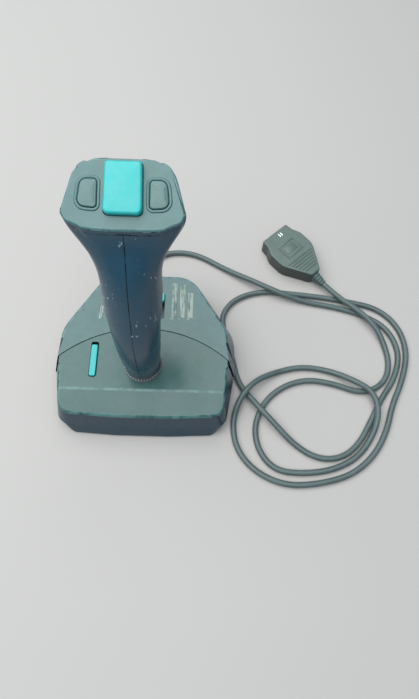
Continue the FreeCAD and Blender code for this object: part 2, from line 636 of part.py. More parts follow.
def lead():
    path, radii = cord_path(ROUTE)
    start = V(*ROUTE[0])
    circle = Part.makeCircle(CORD_D / 2, start, V(*ROUTE[1]) - start)
    cord = path.makePipeShell([Part.Wire(circle)], True, False)
    save("cord", cord)
    length = path.Length
    print("lead length", round(length, 1), "volume ratio",
          round(cord.Volume / (length * math.pi * CORD_D ** 2 / 4), 4))
    print("radii", [round(r) for r in radii])

    bore = CORD_D / 2 + CORD_PLAY
    flange_y = BACK_Y - GLAND_INSIDE
    neck_y = flange_y + GLAND_FLANGE_T
    taper_y = BACK_Y - GLAND_NECK_END
    gland = rod(GLAND_FLANGE_R, (EXIT_X, flange_y, EXIT_Z), (EXIT_X, neck_y, EXIT_Z))
    gland = gland.fuse(rod(GLAND_R, (EXIT_X, neck_y, EXIT_Z), (EXIT_X, taper_y, EXIT_Z)))
    cone = Part.makeCone(GLAND_R, bore + 0.25, GLAND_TAPER, V(EXIT_X, taper_y, EXIT_Z), V(0, 1, 0))
    gland = gland.fuse(cone).cut(rod(bore, (EXIT_X, flange_y - 5, EXIT_Z),
                                     (EXIT_X, taper_y + GLAND_TAPER + 5, EXIT_Z)))
    save("cord_gland", gland.removeSplitter())


def plug():
    """Built with its tail at the origin, nose towards +Y, then laid at the lead's end."""
    tail = PLUG_RELIEF
    nose = PLUG_RELIEF + PLUG_LENGTH
    right = [(4.5, tail, 2), (PLUG_BELLY, tail + 22, 14), (PLUG_BELLY, nose - 14, 8),
             (PLUG_NOSE + 0.8, nose - 7, 3), (PLUG_NOSE, nose, 1.5)]
    left = [(-x, y, radius) for x, y, radius in reversed(right)]
    body = rounded_slab(right + left, -PLUG_T / 2, PLUG_T / 2)
    flat = [edge for edge in body.Edges if abs(abs(edge.CenterOfMass.z) - PLUG_T / 2) < 0.01]
    body = body.makeFillet(1.2, flat)
    width, height = SOCKET_D

    def dee(grow, y0, y1):
        points = [(-width + 1 - grow, -height - grow), (width - 1 + grow, -height - grow),
                  (width + grow, height + grow), (-width - grow, height + grow)]
        wire = rounded_wire([(x, y0, z, 1.6) for x, z in points])
        return Part.Face(wire).extrude(V(0, y1 - y0, 0))

    mouth = nose - SOCKET_DEPTH
    body = body.cut(dee(0.5, mouth, nose + 1))
    shroud = dee(0.5, mouth, nose - 0.5).cut(dee(0.0, mouth, nose + 1))
    insert = dee(0.0, mouth, nose - 1.2)
    holes = []
    for row, count in ((1.42, 5), (-1.42, 4)):
        for i in range(count):
            holes.append(((i - (count - 1) / 2) * 2.77, row))
    sockets = []
    for x, z in holes:
        insert = insert.cut(rod(0.8, (x, mouth + 1.5, z), (x, nose + 1, z)))
        sockets.append(tube(0.8, 0.5, (x, mouth + 1.5, z), (x, nose - 1.6, z)))
    relief = Part.makeCone(3.0, 4.4, PLUG_RELIEF, V(0, 0, 0), V(0, 1, 0))
    pieces = (("plug_body", body), ("plug_shroud", shroud), ("plug_insert", insert),
              ("plug_sockets", Part.makeCompound(sockets)), ("plug_relief", relief))
    end = V(*ROUTE[-1])
    run = end - V(*ROUTE[-2])
    heading = math.degrees(math.atan2(run.y, run.x)) - 90
    for name, shape in pieces:
        placed = shape.copy()
        placed.rotate(V(0, 0, 0), V(0, 0, 1), heading)
        placed.translate(end)
        save(name, placed)


base_casing()
pivot()
trigger(grip())
buttons()
sliders()
lead()
plug()
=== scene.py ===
import json
import math

import bmesh
import bpy
from bpy.props import FloatProperty, FloatVectorProperty, IntProperty, PointerProperty
from mathutils import Matrix, Vector

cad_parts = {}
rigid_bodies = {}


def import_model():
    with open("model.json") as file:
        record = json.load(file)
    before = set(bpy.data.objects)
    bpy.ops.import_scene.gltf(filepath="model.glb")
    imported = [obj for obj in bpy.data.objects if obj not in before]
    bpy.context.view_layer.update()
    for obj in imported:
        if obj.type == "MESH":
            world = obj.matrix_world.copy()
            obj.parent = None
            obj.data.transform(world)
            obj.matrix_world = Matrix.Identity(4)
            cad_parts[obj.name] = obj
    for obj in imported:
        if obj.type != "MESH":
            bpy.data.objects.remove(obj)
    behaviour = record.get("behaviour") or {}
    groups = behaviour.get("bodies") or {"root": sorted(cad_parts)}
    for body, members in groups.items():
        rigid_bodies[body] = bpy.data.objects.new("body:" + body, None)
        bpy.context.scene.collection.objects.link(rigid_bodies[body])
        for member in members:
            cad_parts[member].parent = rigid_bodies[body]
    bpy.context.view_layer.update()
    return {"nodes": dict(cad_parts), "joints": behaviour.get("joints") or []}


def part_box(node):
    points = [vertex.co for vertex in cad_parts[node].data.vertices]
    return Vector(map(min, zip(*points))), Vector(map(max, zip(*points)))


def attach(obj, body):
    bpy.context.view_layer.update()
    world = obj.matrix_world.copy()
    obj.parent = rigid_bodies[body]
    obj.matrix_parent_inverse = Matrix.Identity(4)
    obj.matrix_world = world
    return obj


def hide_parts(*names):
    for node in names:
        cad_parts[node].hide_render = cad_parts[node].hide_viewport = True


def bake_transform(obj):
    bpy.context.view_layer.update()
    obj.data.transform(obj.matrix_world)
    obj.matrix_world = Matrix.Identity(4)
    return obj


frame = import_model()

bl_info = {
    "name": "Flight stick",
    "version": (1, 0, 0),
    "blender": (4, 5, 0),
    "location": "3D View > Sidebar > Flight stick",
    "description": "Dresses a flight-stick game controller, its lead and its plug",
    "category": "Object",
}

MM = 0.001
NODES = frame["nodes"]
JOINTS = {joint["name"]: joint for joint in frame["joints"]}

# The head's own axes: across is X, along runs up the panel, out stands on it.
PRESS = Vector(JOINTS["fire_press"]["axis"])
OUT = -PRESS.normalized()
ALONG = OUT.cross(Vector((1, 0, 0)))
PANEL_TOP = max(OUT.dot(vertex.co) for vertex in NODES["head_panel"].data.vertices)

# The fire button and the side keys on the head: along the panel and across it.
FIRE_FRONT = -12.4
FIRE_BACK = 14.2
FIRE_HALF = 10.0
FIRE_TOP = 4.0
KEY_X = 18.2
KEY_V = -1.7

# Levels of the deck, and the ridge where it turns down to the front.
DECK_TOP = 33 * MM
RIDGE_Y = -35 * MM
COVER_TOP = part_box("rear_cover")[1].z
PIVOT = Vector(JOINTS["fore_aft_tilt"]["pos_m"])

# The seam between deck and rear cover is an arc of a circle.
SEAM_CENTRE = Vector((0, -80 * MM))
SEAM_RADIUS = 92.5 * MM

# The lead's route, as control points: from inside the base round to the plug's tail.
LEAD_DIAMETER = 4.4 * MM
FLOOR = 2.25
OVER = 7.4
OVER_2 = 10.3
PLUG_Z = 7.0
ROUTE = (
    (-6, 50, 8), (-6, 70, 8), (-4, 86, 4.2), (10, 98, FLOOR), (34, 98, FLOOR),
    (60, 83, FLOOR), (83, 70, OVER), (104, 60, OVER), (126, 54.5, FLOOR), (150, 51, FLOOR),
    (172, 45, FLOOR), (192, 34, FLOOR), (200.5, 13, FLOOR), (195, -9, FLOOR), (182, -27, FLOOR),
    (173, -44, FLOOR), (162, -63, FLOOR), (148, -74, FLOOR), (130, -75, FLOOR),
    (113, -65, FLOOR), (96, -48, OVER), (83, -34, OVER), (71, -18, FLOOR), (67, 1, FLOOR),
    (61, 21, FLOOR), (57, 39, FLOOR), (67, 55, FLOOR), (89, 63.5, FLOOR), (112, 62, FLOOR),
    (136, 60, FLOOR), (160, 56.5, FLOOR), (186, 51, FLOOR), (202, 35, FLOOR), (207, 12, FLOOR),
    (200, -12, FLOOR), (190, -32, FLOOR), (184, -52, FLOOR), (173, -71, FLOOR),
    (155, -86, FLOOR), (131, -93, FLOOR), (106, -95, FLOOR), (84, -86, FLOOR),
    (70, -70, FLOOR), (66.5, -50, FLOOR), (71, -33, OVER_2), (83, -18, OVER_2),
    (101, -7.5, FLOOR), (121, -2.5, FLOOR), (142, -5, FLOOR), (160, -14, OVER), (175, -23, OVER),
    (178, -40, OVER), (172, -58, FLOOR), (159, -74, FLOOR), (140, -83, FLOOR),
    (118, -86, FLOOR), (98, -84, FLOOR), (86, -70, FLOOR), (83, -51, FLOOR), (91, -32, FLOOR),
    (106, -19, FLOOR), (125, -13, FLOOR), (146, -16, FLOOR), (164, -22.5, FLOOR),
    (177, -20, FLOOR), (187, -11.5, FLOOR), (191, 1, FLOOR), (189.5, 16, FLOOR),
    (182, 32, OVER), (168, 47, OVER),
    (153, 57, OVER), (141.5, 69.5, PLUG_Z),
)

# The plug, from its tail (0) to its nose, in its own axes.
PLUG_TAIL = 10.0
PLUG_TOP = 7.0

FINISHES = {}


# ---- sizes and colours a user would change -------------------------------------------------
def length(name, description, default):
    return FloatProperty(name=name, description=description, default=default, min=0.0,
                         unit="LENGTH", precision=5)


def colour(name, description, default):
    return FloatVectorProperty(name=name, description=description, default=default, size=3,
                               min=0.0, max=1.0, subtype="COLOR")


class StageSettings(bpy.types.PropertyGroup):
    floor: colour("Floor", "Colour of the plain floor", (0.435, 0.40, 0.39))
    sky: FloatProperty(name="Sky", description="Strength of the even light all round",
                       default=0.32)
    softbox: FloatProperty(name="Softbox", description="Power of the large overhead softbox",
                           default=45.0, unit="POWER")


class CasingSettings(bpy.types.PropertyGroup):
    clean: colour("Clean plastic", "Dark blue moulded plastic", (0.008, 0.034, 0.058))
    # Painted sheen: the next two colours are what faces that look up are lightened towards, in
    # place of the light they catch on the dark blue plastic.
    dust_and_sheen: colour("Dust film", "What hands and dust leave on the faces that look up",
                 (0.030, 0.085, 0.080))
    cover_sheen: colour("Cover film", "The same film on the rear cover", (0.050, 0.110, 0.110))
    rim: length("Rim", "Rounding of the deck's outer rim", 1.5 * MM)
    seam: length("Seam", "Rounding at parting lines", 0.35 * MM)


class GripSettings(bpy.types.PropertyGroup):
    body: colour("Grip plastic", "Glossier dark blue of the grip", (0.014, 0.052, 0.085))
    # The head panel's grey-green is painted sheen on the dark plastic, given to faces that look
    # up.
    panel: colour("Head panel", "Handled grey-green of the head", (0.060, 0.130, 0.130))
    panel_edge: length("Panel edge", "Rounding of the head panel's rim", 1.2 * MM)


class ButtonSettings(bpy.types.PropertyGroup):
    teal: colour("Teal", "Colour of the fire button and the sliders", (0.003, 0.37, 0.37))
    key: colour("Side keys", "Colour of the two side keys", (0.062, 0.128, 0.127))
    crown: length("Crown", "How far the fire button's top swells", 0.55 * MM)


class LeadSettings(bpy.types.PropertyGroup):
    diameter: length("Diameter", "Outer diameter of the lead", LEAD_DIAMETER)
    jacket: colour("Jacket", "Colour of the lead and its reliefs", (0.068, 0.092, 0.094))
    plug: colour("Plug", "Colour of the moulded plug", (0.080, 0.112, 0.100))
    ribs: IntProperty(name="Grip ribs", description="Ribs across the plug's tail half", default=6)


# ---- materials ------------------------------------------------------------------------------
class Finish:
    """One material's node tree, read from the piece's own coordinates."""

    def __init__(self, name, roughness, metallic=0.0):
        self.material = bpy.data.materials.new(name)
        self.material.use_nodes = True
        self.tree = self.material.node_tree
        self.shader = self.tree.nodes["Principled BSDF"]
        self.shader.inputs["Roughness"].default_value = roughness
        self.shader.inputs["Metallic"].default_value = metallic
        self.place = self.node("ShaderNodeTexCoord").outputs

    def node(self, kind, inputs=None, **settings):
        node = self.tree.nodes.new(kind)
        for key, value in settings.items():
            setattr(node, key, value)
        for key, value in (inputs or {}).items():
            if isinstance(value, bpy.types.NodeSocket):
                self.tree.links.new(value, node.inputs[key])
            else:
                node.inputs[key].default_value = value
        return node

    def noise(self, grain, detail=2.0, stretch=(1, 1, 1), shift=0.0):
        """Noise whose patches are about `grain` metres across."""
        mapping = self.node("ShaderNodeMapping", {"Vector": self.place["Object"],
                                                  "Scale": stretch, "Location": (shift,) * 3})
        noise = self.node("ShaderNodeTexNoise", {"Vector": mapping.outputs[0],
                                                 "Scale": 1 / grain, "Detail": detail})
        return noise.outputs["Fac"]

    def between(self, value, low, high, to_low=0.0, to_high=1.0):
        node = self.node("ShaderNodeMapRange", {"Value": value, "From Min": low, "From Max": high,
                                                "To Min": to_low, "To Max": to_high},
                         interpolation_type="SMOOTHSTEP")
        return node.outputs["Result"]

    def maths(self, operation, first, second):
        return self.node("ShaderNodeMath", {0: first, 1: second}, operation=operation).outputs[0]

    def mix(self, factor, first, second):
        """Blend of two colours, each a socket or red, green and blue."""
        values = {0: factor}
        for slot, value in ((6, first), (7, second)):
            values[slot] = value if isinstance(value, bpy.types.NodeSocket) else (*value, 1.0)
        return self.node("ShaderNodeMix", values, data_type="RGBA").outputs[2]

    def facing_up(self, low, high):
        parts = self.node("ShaderNodeSeparateXYZ", {0: self.place["Normal"]})
        return self.between(parts.outputs["Z"], low, high)

    def edge(self):
        return self.node("ShaderNodeAttribute", attribute_name="edge").outputs["Fac"]

    def paint(self, socket):
        self.tree.links.new(socket, self.shader.inputs["Base Color"])

    def roughen(self, socket):
        self.tree.links.new(socket, self.shader.inputs["Roughness"])

    def bump(self, height, distance, strength=1.0):
        bump = self.node("ShaderNodeBump", {"Height": height, "Distance": distance,
                                            "Strength": strength})
        self.tree.links.new(bump.outputs[0], self.shader.inputs["Normal"])


def moulded(name, clean, dust_and_sheen, sheen_from=0.35, sheen_to=0.85, roughness=0.24, worn=0.5,
            scratched=0.0, grain=0.00045, edges=None):
    """Moulded plastic: a painted sheen that lightens faces looking up, pale worn edges, scratches
    and grain.
    """
    finish = Finish(name, roughness)
    patches = finish.between(finish.noise(0.022, 4.0), 0.30, 0.72)
    cloud = finish.between(finish.noise(0.006, 3.0, shift=3.0), 0.25, 0.8)
    # Painted sheen: faces that look up move from the clean colour towards the lighter sheen
    # colour, as if lit from above.
    up = finish.facing_up(sheen_from, sheen_to)
    cover = finish.maths("MULTIPLY", up, finish.between(patches, 0.0, 1.0, 0.88, 1.0))
    base = finish.mix(cover, clean, dust_and_sheen)
    pale = tuple(min(1.0, channel * 1.9 + 0.035) for channel in dust_and_sheen)
    # Pale clouds only on faces that look up: patches in the painted sheen.
    cloud = finish.maths("MULTIPLY", cloud, up)
    base = finish.mix(finish.maths("MULTIPLY", cloud, 0.12), base, pale)
    specks = finish.between(finish.noise(0.0011, 1.0, shift=7.0), 0.70, 0.78)
    base = finish.mix(finish.maths("MULTIPLY", specks, 0.30), base, pale)
    rubbed = finish.between(finish.noise(0.005, 3.0, shift=1.0), 0.30, 0.62)
    rubbed = finish.maths("MULTIPLY", rubbed, finish.edge())
    base = finish.mix(finish.maths("MULTIPLY", rubbed, worn), base, edges or pale)
    rough = finish.between(patches, 0.0, 1.0, roughness - 0.03, roughness + 0.07)
    if scratched:
        where = finish.between(finish.noise(0.019, 1.0, shift=5.0), 0.50, 0.60)
        marks = finish.noise(0.0016, 2.0, stretch=(1.0, 1.0, 0.30), shift=11.0)
        marks = finish.maths("MULTIPLY", finish.between(marks, 0.655, 0.70), where)
        base = finish.mix(finish.maths("MULTIPLY", marks, scratched), base, (0.40, 0.48, 0.52))
        rough = finish.maths("ADD", rough, finish.maths("MULTIPLY", marks, 0.3))
    finish.paint(base)
    finish.roughen(rough)
    finish.bump(finish.noise(grain, 2.0), 0.000018)
    return finish.material


def teal_plastic(name, teal):
    """Bright plastic with a fine matt texture, paler clouds and darker specks."""
    finish = Finish(name, 0.38)
    cloud = finish.between(finish.noise(0.007, 4.0), 0.3, 0.75)
    pale = (teal[0] + 0.09, min(1.0, teal[1] * 1.12), min(1.0, teal[2] * 1.12))
    base = finish.mix(finish.maths("MULTIPLY", cloud, 0.55), teal, pale)
    dirt = finish.between(finish.noise(0.0016, 2.0, shift=4.0), 0.62, 0.8)
    base = finish.mix(finish.maths("MULTIPLY", dirt, 0.25), base,
                      tuple(channel * 0.62 for channel in teal))
    finish.paint(base)
    finish.roughen(finish.between(cloud, 0.0, 1.0, 0.34, 0.50))
    finish.bump(finish.noise(0.0006, 1.0), 0.00005)
    return finish.material


def soft_rubber(name, base, worn, roughness=0.55, dust_and_sheen=0.35):
    """Rubber or soft jacket with handling marks."""
    finish = Finish(name, roughness)
    cloud = finish.between(finish.noise(0.010, 4.0), 0.3, 0.7)
    marks = finish.between(finish.noise(0.0016, 2.0, shift=2.0), 0.58, 0.74)
    tone = finish.mix(finish.maths("MULTIPLY", cloud, dust_and_sheen), base, worn)
    tone = finish.mix(finish.maths("MULTIPLY", marks, 0.25), tone, worn)
    tone = finish.mix(finish.maths("MULTIPLY", finish.edge(), 0.6), tone, worn)
    finish.paint(tone)
    finish.roughen(finish.between(cloud, 0.0, 1.0, roughness - 0.08, roughness + 0.1))
    finish.bump(finish.noise(0.0005, 2.0), 0.00003)
    return finish.material


def bright_metal(name, base, roughness, grain=0.0004):
    """Plated metal with fine drawing marks and a few dull spots."""
    finish = Finish(name, roughness, 1.0)
    drawn = finish.noise(grain, 3.0, stretch=(1.0, 1.0, 0.12))
    dull = finish.between(finish.noise(0.003, 3.0, shift=6.0), 0.45, 0.8)
    finish.paint(finish.mix(finish.maths("MULTIPLY", dull, 0.4), base,
                            tuple(channel * 0.6 for channel in base)))
    finish.roughen(finish.between(drawn, 0.2, 0.8, roughness - 0.08, roughness + 0.12))
    finish.bump(drawn, 0.00001)
    return finish.material


def laminate(name):
    """Brown circuit board: speckled paper laminate."""
    finish = Finish(name, 0.45)
    weave = finish.noise(0.0012, 3.0, stretch=(1.0, 0.4, 1.0))
    finish.paint(finish.mix(finish.between(weave, 0.35, 0.65),
                            (0.30, 0.19, 0.07), (0.40, 0.27, 0.11)))
    finish.bump(weave, 0.00003)
    return finish.material


def worn_print(name, ink, ground):
    """Printed bars, mostly rubbed off in fine streaks along them."""
    finish = Finish(name, 0.45)
    lines = finish.noise(0.0012, 2.0, stretch=(1.6, 0.10, 1.0))
    lost = finish.noise(0.006, 3.0, shift=9.0)
    keep = finish.maths("ADD", finish.maths("MULTIPLY", lines, 0.6),
                        finish.maths("MULTIPLY", lost, 0.4))
    finish.paint(finish.mix(finish.between(keep, 0.42, 0.56), ground, ink))
    finish.bump(finish.noise(0.0006, 2.0), 0.00002)
    return finish.material


def dress(node, material):
    """Gives a CAD node its material."""
    slots = NODES[node].material_slots
    if not slots:
        raise RuntimeError(node + " has no material slot")
    for material_slot in slots:
        material_slot.material = material


# ---- meshes ---------------------------------------------------------------------------------
def new_piece(name, mesh, material=None):
    """Links a mesh as an object at the origin."""
    piece = bpy.data.objects.new(name, mesh)
    bpy.context.scene.collection.objects.link(piece)
    if material is not None:
        mesh.materials.clear()
        mesh.materials.append(material)
    return piece


def install(piece, slot, body, *replaced):
    """Puts a piece on the body it rides on and hides the CAD nodes it stands for; its finish slot
    is not used.
    """
    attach(piece, body)
    if replaced:
        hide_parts(*replaced)
    return piece


def smooth(mesh, angle=32.0):
    mesh.shade_smooth()
    mesh.set_sharp_from_angle(angle=math.radians(angle))


def settled(piece):
    """Turns a piece's modifiers into plain mesh."""
    graph = bpy.context.evaluated_depsgraph_get()
    mesh = bpy.data.meshes.new_from_object(piece.evaluated_get(graph))
    piece.modifiers.clear()
    old = piece.data
    piece.data = mesh
    if old.users == 0:
        (bpy.data.curves if isinstance(old, bpy.types.Curve) else bpy.data.meshes).remove(old)
    return piece


def softened(node, name, material, passes):
    """A welded copy of a CAD node with rounded edges.

    Each pass is (where, width, segments, least angle, clamped); where takes an edge's middle
    and the way it faces.  Faces made by the rounding carry the value 1 in the "edge"
    attribute, which the materials show as wear.
    """
    bm = bmesh.new()
    bm.from_mesh(NODES[node].data)
    bmesh.ops.remove_doubles(bm, verts=bm.verts, dist=2e-6)
    bmesh.ops.dissolve_limit(bm, angle_limit=math.radians(0.6), verts=bm.verts, edges=bm.edges)
    layer = bm.loops.layers.float.new("edge")
    for where, width, segments, angle, clamped in passes:
        sharp = []
        for edge in bm.edges:
            if len(edge.link_faces) == 2 and edge.calc_face_angle(0.0) > math.radians(angle):
                facing = (edge.link_faces[0].normal + edge.link_faces[1].normal).normalized()
                if where((edge.verts[0].co + edge.verts[1].co) / 2, facing):
                    sharp.append(edge)
        made = bmesh.ops.bevel(bm, geom=sharp, offset=width, offset_type="OFFSET",
                               segments=segments, profile=0.5, affect="EDGES",
                               clamp_overlap=clamped)
        for face in made["faces"]:
            for loop in face.loops:
                loop[layer] = 1.0
    mesh = bpy.data.meshes.new(name)
    bm.to_mesh(mesh)
    bm.free()
    smooth(mesh, 40.0)
    piece = new_piece(name, mesh, material)
    weighted = piece.modifiers.new("Weighted", "WEIGHTED_NORMAL")
    weighted.keep_sharp = True
    return settled(piece)


def anywhere(_point, _facing):
    return True


def on_top_side(_point, facing):
    return facing.z > 0.5


def rounded_outline(corners, steps=6):
    """Closed outline through (x, y, radius) corners, with (x, y, outward x, outward y) points."""
    outline = []
    count = len(corners)
    for i, (x, y, radius) in enumerate(corners):
        here = Vector((x, y))
        before = (Vector(corners[i - 1][:2]) - here).normalized()
        after = (Vector(corners[(i + 1) % count][:2]) - here).normalized()
        half = before.angle(after) / 2
        centre = here + (before + after).normalized() * (radius / math.sin(half))
        start = here + before * (radius / math.tan(half)) - centre
        sweep = start.angle_signed(here + after * (radius / math.tan(half)) - centre)
        for k in range(steps + 1):
            turn = Matrix.Rotation(-sweep * k / steps, 2)
            spoke = (turn @ start).normalized()
            point = centre + spoke * radius
            outline.append((point.x, point.y, spoke.x, spoke.y))
    return outline


def add_ring(bm, outline, inset, place, height):
    return [bm.verts.new(place(x - nx * inset, y - ny * inset, height))
            for x, y, nx, ny in outline]


def bridge(bm, low, high):
    count = len(low)
    for i in range(count):
        bm.faces.new((low[i], low[(i + 1) % count], high[(i + 1) % count], high[i]))


def close_ring(bm, ring, centre):
    hub = bm.verts.new(centre)
    for i, vertex in enumerate(ring):
        bm.faces.new((vertex, ring[(i + 1) % len(ring)], hub))


def finished(bm, name, material, angle=32.0):
    bmesh.ops.recalc_face_normals(bm, faces=bm.faces)
    mesh = bpy.data.meshes.new(name)
    bm.to_mesh(mesh)
    bm.free()
    smooth(mesh, angle)
    return new_piece(name, mesh, material)


def cap(name, outline, place, low, top, edge, crown, material):
    """A moulded key: straight walls, a rounded rim and a top that swells by crown."""
    bm = bmesh.new()
    rim_steps = 6
    top_steps = 10
    rings = [add_ring(bm, outline, 0.0, place, low)]
    for k in range(rim_steps + 1):
        turn = math.radians(90) * k / rim_steps
        rings.append(add_ring(bm, outline, edge * (1 - math.cos(turn)), place,
                              top - edge + edge * math.sin(turn)))
    inner = [(x - nx * edge, y - ny * edge) for x, y, nx, ny in outline]
    middle = (sum(x for x, _ in inner) / len(inner), sum(y for _, y in inner) / len(inner))
    for k in range(1, top_steps):
        share = 1 - k / top_steps
        swell = top + crown * (1 - share ** 2)
        rings.append([bm.verts.new(place(middle[0] + (x - middle[0]) * share,
                                         middle[1] + (y - middle[1]) * share, swell))
                      for x, y in inner])
    for lower, upper in zip(rings, rings[1:]):
        bridge(bm, lower, upper)
    close_ring(bm, rings[-1], place(*middle, top + crown))
    close_ring(bm, rings[0], place(*middle, low))
    return finished(bm, name, material, 60.0)


def raised_rim(name, outline, place, profile, material):
    """A closed bead that follows an outline; the profile is (offset outwards, height) points."""
    bm = bmesh.new()
    rings = [add_ring(bm, outline, -offset, place, height) for offset, height in profile]
    for k, ring in enumerate(rings):
        bridge(bm, ring, rings[(k + 1) % len(rings)])
    return finished(bm, name, material, 50.0)


def lathe(name, profile, place, material, steps=72, angle=50.0):
    """A closed profile of (radius, height) points turned about the place's own axis."""
    bm = bmesh.new()
    rings = []
    for k in range(steps):
        turn = 2 * math.pi * k / steps
        rings.append([bm.verts.new(place(radius * math.cos(turn), radius * math.sin(turn), height))
                      for radius, height in profile])
    for k, ring in enumerate(rings):
        bridge(bm, ring, rings[(k + 1) % steps])
    return finished(bm, name, material, angle)


def plate(bm, place, x0, x1, y0, y1, z0, z1):
    """Adds a plain slab to a mesh, which a bevel finishes."""
    corners = [bm.verts.new(place(x, y, z)) for z in (z0, z1)
               for x, y in ((x0, y0), (x1, y0), (x1, y1), (x0, y1))]
    for face in ((3, 2, 1, 0), (4, 5, 6, 7), (0, 1, 5, 4),
                 (1, 2, 6, 5), (2, 3, 7, 6), (3, 0, 4, 7)):
        bm.faces.new([corners[i] for i in face])


def plates(name, slabs, place, edge, material):
    """Several slabs with rounded edges as one piece."""
    bm = bmesh.new()
    for slab in slabs:
        plate(bm, place, *slab)
    bmesh.ops.bevel(bm, geom=bm.edges[:], offset=edge, segments=2, profile=0.5, affect="EDGES",
                    clamp_overlap=True)
    return finished(bm, name, material, 40.0)


def on_head(x, v, w):
    """Millimetres across, along and out from the head panel's top face, in the row frame."""
    return Vector((x, 0, 0)) * MM + HEAD_MIDDLE + ALONG * v * MM + OUT * w * MM


def on_base(x, y, z):
    return Vector((x, y, z)) * MM


def on_plug(x, y, z):
    """Millimetres from the plug's tail: across, towards the nose and up."""
    tail = Vector(ROUTE[-1])
    ahead = tail - Vector(ROUTE[-2])
    ahead.z = 0
    ahead.normalize()
    across = ahead.cross(Vector((0, 0, 1)))
    return (tail + across * x + ahead * y + Vector((0, 0, z))) * MM


def head_middle():
    """The point on the head panel's top face that its own millimetres are counted from."""
    points = [vertex.co for vertex in NODES["fire_button"].data.vertices]
    runs = [ALONG.dot(point) for point in points if OUT.dot(point) > PANEL_TOP]
    return ALONG * ((min(runs) + max(runs)) / 2 - FIRE_MIDDLE) + OUT * PANEL_TOP


FIRE_MIDDLE = (FIRE_FRONT + FIRE_BACK) / 2 * MM
HEAD_MIDDLE = head_middle()


# ---- geometry nodes -------------------------------------------------------------------------
class Tree:
    """A geometry-nodes tree with named inputs."""

    def __init__(self, name, sockets):
        self.tree = bpy.data.node_groups.new(name, "GeometryNodeTree")
        self.ids = {}
        for label, kind in sockets:
            item = self.tree.interface.new_socket(label, in_out="INPUT", socket_type=kind)
            self.ids[label] = item.identifier
        self.tree.interface.new_socket("Geometry", in_out="OUTPUT",
                                       socket_type="NodeSocketGeometry")
        self.given = self.tree.nodes.new("NodeGroupInput").outputs
        self.result = self.tree.nodes.new("NodeGroupOutput").inputs[0]

    def node(self, kind, inputs=None, **settings):
        node = self.tree.nodes.new(kind)
        for key, value in settings.items():
            setattr(node, key, value)
        for key, value in (inputs or {}).items():
            if isinstance(value, bpy.types.NodeSocket):
                self.tree.links.new(value, node.inputs[key])
            else:
                node.inputs[key].default_value = value
        return node

    def close(self, geometry, material):
        """Realizes the instances, sets the material and ends the tree."""
        real = self.node("GeometryNodeRealizeInstances", {0: geometry}).outputs[0]
        set_material = self.node("GeometryNodeSetMaterial",
                                 {"Geometry": real, "Material": material})
        self.tree.links.new(set_material.outputs[0], self.result)

    def made(self, name, values):
        """Runs the tree on an empty mesh and returns the plain piece."""
        piece = new_piece(name, bpy.data.meshes.new(name))
        modifier = piece.modifiers.new("Nodes", "NODES")
        modifier.node_group = self.tree
        for label, value in values.items():
            modifier[self.ids[label]] = value
        piece.update_tag()
        bpy.context.view_layer.update()
        settled(piece)
        return piece


def rib_ring_tree():
    """Ribs that stand like spokes round a ring."""
    tree = Tree("Rib ring", (("Count", "NodeSocketInt"), ("Radius", "NodeSocketFloat"),
                             ("Centre", "NodeSocketVector"), ("Rib", "NodeSocketVector"),
                             ("Lean", "NodeSocketFloat"), ("Material", "NodeSocketMaterial")))
    given = tree.given
    circle = tree.node("GeometryNodeMeshCircle",
                       {"Vertices": given["Count"], "Radius": given["Radius"]})
    rib = tree.node("GeometryNodeMeshCube", {"Size": given["Rib"]})
    lean = tree.node("ShaderNodeCombineXYZ", {"Y": given["Lean"]})
    leant = tree.node("GeometryNodeTransform",
                      {"Geometry": rib.outputs[0], "Rotation": lean.outputs[0]})
    place = tree.node("GeometryNodeInputPosition")
    aim = tree.node("FunctionNodeAlignRotationToVector", {"Vector": place.outputs[0]}, axis="X")
    ribs = tree.node("GeometryNodeInstanceOnPoints", {"Points": circle.outputs[0],
                                                      "Instance": leant.outputs[0],
                                                      "Rotation": aim.outputs[0]})
    moved = tree.node("GeometryNodeTransform", {"Geometry": ribs.outputs[0],
                                                "Translation": given["Centre"]})
    tree.close(moved.outputs[0], given["Material"])
    return tree


def rib_row_tree():
    """Round-topped ribs side by side, each a little longer than the one before."""
    tree = Tree("Rib row", (("Count", "NodeSocketInt"), ("Step", "NodeSocketVector"),
                            ("Start", "NodeSocketVector"), ("Turn", "NodeSocketFloat"),
                            ("Radius", "NodeSocketFloat"), ("First length", "NodeSocketFloat"),
                            ("Growth", "NodeSocketFloat"), ("Material", "NodeSocketMaterial")))
    given = tree.given
    line = tree.node("GeometryNodeMeshLine",
                     {"Count": given["Count"], "Start Location": given["Start"],
                      "Offset": given["Step"]})
    bar = tree.node("GeometryNodeMeshCylinder",
                    {"Vertices": 16, "Radius": given["Radius"], "Depth": 1.0})
    laid = tree.node("GeometryNodeTransform", {"Geometry": bar.outputs[0],
                                               "Rotation": (0, math.radians(90), 0)})
    index = tree.node("GeometryNodeInputIndex")
    grown = tree.node("ShaderNodeMath", {0: index.outputs[0], 1: given["Growth"]},
                      operation="MULTIPLY")
    total = tree.node("ShaderNodeMath", {0: grown.outputs[0], 1: given["First length"]},
                      operation="ADD")
    scale = tree.node("ShaderNodeCombineXYZ", {"X": total.outputs[0], "Y": 1.0, "Z": 1.0})
    turn = tree.node("ShaderNodeCombineXYZ", {"Z": given["Turn"]})
    bars = tree.node("GeometryNodeInstanceOnPoints", {"Points": line.outputs[0],
                                                      "Instance": laid.outputs[0],
                                                      "Rotation": turn.outputs[0],
                                                      "Scale": scale.outputs[0]})
    tree.close(bars.outputs[0], given["Material"])
    return tree


